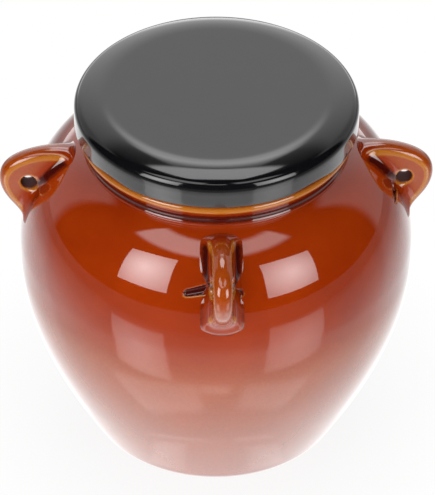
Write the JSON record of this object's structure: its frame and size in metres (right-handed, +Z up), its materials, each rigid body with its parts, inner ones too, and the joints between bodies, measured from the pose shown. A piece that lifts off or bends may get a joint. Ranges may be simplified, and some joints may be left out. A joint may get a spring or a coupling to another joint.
{
  "type": "stoneware jar with twist-off lid",
  "caption": "Round-bellied glazed stoneware jar with pierced ears on its shoulder and a pressed metal lid that twists off, for fermenting and storing food.",
  "frame": {"origin": "centre of the foot ring, on the plane the pot stands on", "axes": "+Z up along the pot's axis and the axis the lid turns on; the front ear points to -Y and the right ear to +X"},
  "size_m": [0.1716, 0.1716, 0.1566],
  "materials": {
    "amber_glaze": "high-gloss amber-brown glaze, thinner and lighter on edges",
    "black_enamel": "gloss black enamel on pressed tinplate",
    "sealing_compound": "matt, soft"
  },
  "bodies": {
    "pot": {"pot_body": "amber_glaze", "ear_front": "amber_glaze", "ear_right": "amber_glaze", "ear_rear": "amber_glaze", "ear_left": "amber_glaze"},
    "lid_carrier": {"lid_gasket": "sealing_compound"},
    "lid": {"lid_shell": "black_enamel"}
  },
  "joints": [
    {"name": "lid_lift", "type": "slide", "parent": "pot", "child": "lid_carrier", "axis": [0, 0, 1], "range_m": [0, 0.0245]},
    {"name": "lid_turn", "type": "hinge", "parent": "lid_carrier", "child": "lid", "pos_m": [0, 0, 0.1521], "axis": [0, 0, 1], "range_deg": [0, 360]}
  ],
  "couplings": [
    {"joint": "lid_lift", "follows": "lid_turn", "m_per_rad": 0.0038197}
  ]
}
